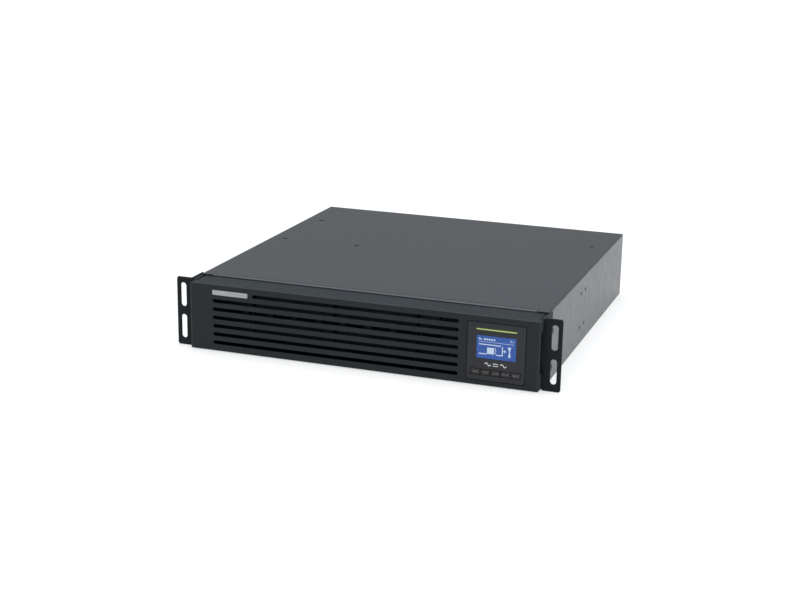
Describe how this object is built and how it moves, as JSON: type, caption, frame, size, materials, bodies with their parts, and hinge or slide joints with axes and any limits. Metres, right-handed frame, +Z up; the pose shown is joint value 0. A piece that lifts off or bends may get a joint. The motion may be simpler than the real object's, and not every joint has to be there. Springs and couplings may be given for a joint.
{
  "type": "uninterruptible power supply",
  "caption": "Flat rack-mounted uninterruptible power supply with slotted rack ears, a louvred front bezel, a square display module with keys, and sockets and fans at the back.",
  "frame": {"origin": "under the middle of the whole unit, on the surface it stands on", "axes": "+X across the rack to the right seen from the front, +Y from the front to the back, +Z up"},
  "size_m": [0.4826, 0.4606, 0.086],
  "materials": {
    "case_paint": "satin",
    "ear_paint": "satin",
    "zinc_steel": "satin",
    "black_screw": "satin",
    "bright_screw": "satin",
    "bezel_plastic": "matte",
    "badge_metal": "satin",
    "battery_plastic": "matte",
    "wire_plastic": "satin",
    "grey_plastic": "matte",
    "strap_fabric": "matte",
    "circuit_green": "satin",
    "circuit_blue": "satin",
    "brass": "satin",
    "heatsink_aluminium": "satin",
    "chip_black": "matte",
    "capacitor_sleeve": "satin",
    "copper_winding": "satin",
    "relay_white": "satin",
    "ribbon_grey": "matte",
    "fan_plastic": "satin",
    "wire_chrome": "polished",
    "socket_plastic": "satin",
    "button_red": "satin",
    "port_steel": "satin",
    "terminal_green": "satin",
    "display_plastic": "satin",
    "lcd_blue": "gloss",
    "light_green": "gloss",
    "key_plastic": "satin"
  },
  "bodies": {
    "chassis": {"chassis_base": "case_paint", "top_cover": "case_paint", "front_frame": "ear_paint", "rear_panel": "case_paint", "ear_left": "ear_paint", "ear_right": "ear_paint", "ear_screws": "black_screw", "cover_screws": "black_screw", "panel_screws": "bright_screw", "thumb_screws": "black_screw", "partition_wall": "zinc_steel", "battery_tray": "ear_paint", "battery_1": "battery_plastic", "battery_2": "battery_plastic", "battery_3": "battery_plastic", "battery_4": "battery_plastic", "battery_links": "wire_plastic", "battery_plug": "grey_plastic", "battery_retainer": "ear_paint", "pull_strap": "strap_fabric", "power_board": "circuit_green", "control_board": "circuit_blue", "board_standoffs": "brass", "inverter_heatsink": "heatsink_aluminium", "rectifier_heatsink": "heatsink_aluminium", "power_transistors": "chip_black", "bus_capacitors": "capacitor_sleeve", "filter_chokes": "copper_winding", "relays": "relay_white", "display_ribbon": "ribbon_grey", "fan_frame_left": "fan_plastic", "fan_frame_right": "fan_plastic", "fan_guard_left": "wire_chrome", "fan_guard_right": "wire_chrome", "ac_inlet": "socket_plastic", "inlet_pins": "brass", "outlet_blocks": "socket_plastic", "circuit_breaker": "socket_plastic", "serial_port": "port_steel", "usb_port": "port_steel", "network_jacks": "socket_plastic", "shutdown_terminal": "terminal_green", "slot_cover": "case_paint", "battery_socket": "grey_plastic", "earth_stud": "bright_screw"},
    "front_bezel": {"bezel": "bezel_plastic", "nameplate": "badge_metal"},
    "display_module": {"display_housing": "display_plastic", "display_face": "display_plastic", "lcd_panel": "lcd_blue", "light_bar": "light_green", "display_board": "circuit_green"},
    "key_1_cap": {"key_1": "key_plastic"},
    "key_2_cap": {"key_2": "key_plastic"},
    "key_3_cap": {"key_3": "key_plastic"},
    "key_4_cap": {"key_4": "key_plastic"},
    "key_5_cap": {"key_5": "key_plastic"},
    "rotor_left": {"fan_rotor_left": "fan_plastic"},
    "rotor_right": {"fan_rotor_right": "fan_plastic"},
    "reset_button": {"breaker_button": "button_red"}
  },
  "joints": [
    {"name": "bezel_pull", "type": "slide", "parent": "chassis", "child": "front_bezel", "axis": [0, -1, 0], "range_m": [0, 0.04]},
    {"name": "display_pull", "type": "slide", "parent": "front_bezel", "child": "display_module", "axis": [0, -1, 0], "range_m": [0, 0.025]},
    {"name": "key_1_press", "type": "slide", "parent": "display_module", "child": "key_1_cap", "axis": [0, 1, 0], "range_m": [0, 0.0008], "stiffness_N_per_m": 600, "springref_m": -0.0005},
    {"name": "key_2_press", "type": "slide", "parent": "display_module", "child": "key_2_cap", "axis": [0, 1, 0], "range_m": [0, 0.0008], "stiffness_N_per_m": 600, "springref_m": -0.0005},
    {"name": "key_3_press", "type": "slide", "parent": "display_module", "child": "key_3_cap", "axis": [0, 1, 0], "range_m": [0, 0.0008], "stiffness_N_per_m": 600, "springref_m": -0.0005},
    {"name": "key_4_press", "type": "slide", "parent": "display_module", "child": "key_4_cap", "axis": [0, 1, 0], "range_m": [0, 0.0008], "stiffness_N_per_m": 600, "springref_m": -0.0005},
    {"name": "key_5_press", "type": "slide", "parent": "display_module", "child": "key_5_cap", "axis": [0, 1, 0], "range_m": [0, 0.0008], "stiffness_N_per_m": 600, "springref_m": -0.0005},
    {"name": "rotor_left_spin", "type": "hinge", "parent": "chassis", "child": "rotor_left", "pos_m": [-0.172, 0.2063, 0.0432], "axis": [0, 1, 0], "continuous": true},
    {"name": "rotor_right_spin", "type": "hinge", "parent": "chassis", "child": "rotor_right", "pos_m": [-0.088, 0.2063, 0.0432], "axis": [0, 1, 0], "continuous": true},
    {"name": "breaker_trip", "type": "slide", "parent": "chassis", "child": "reset_button", "axis": [0, 1, 0], "range_m": [0, 0.004]}
  ]
}
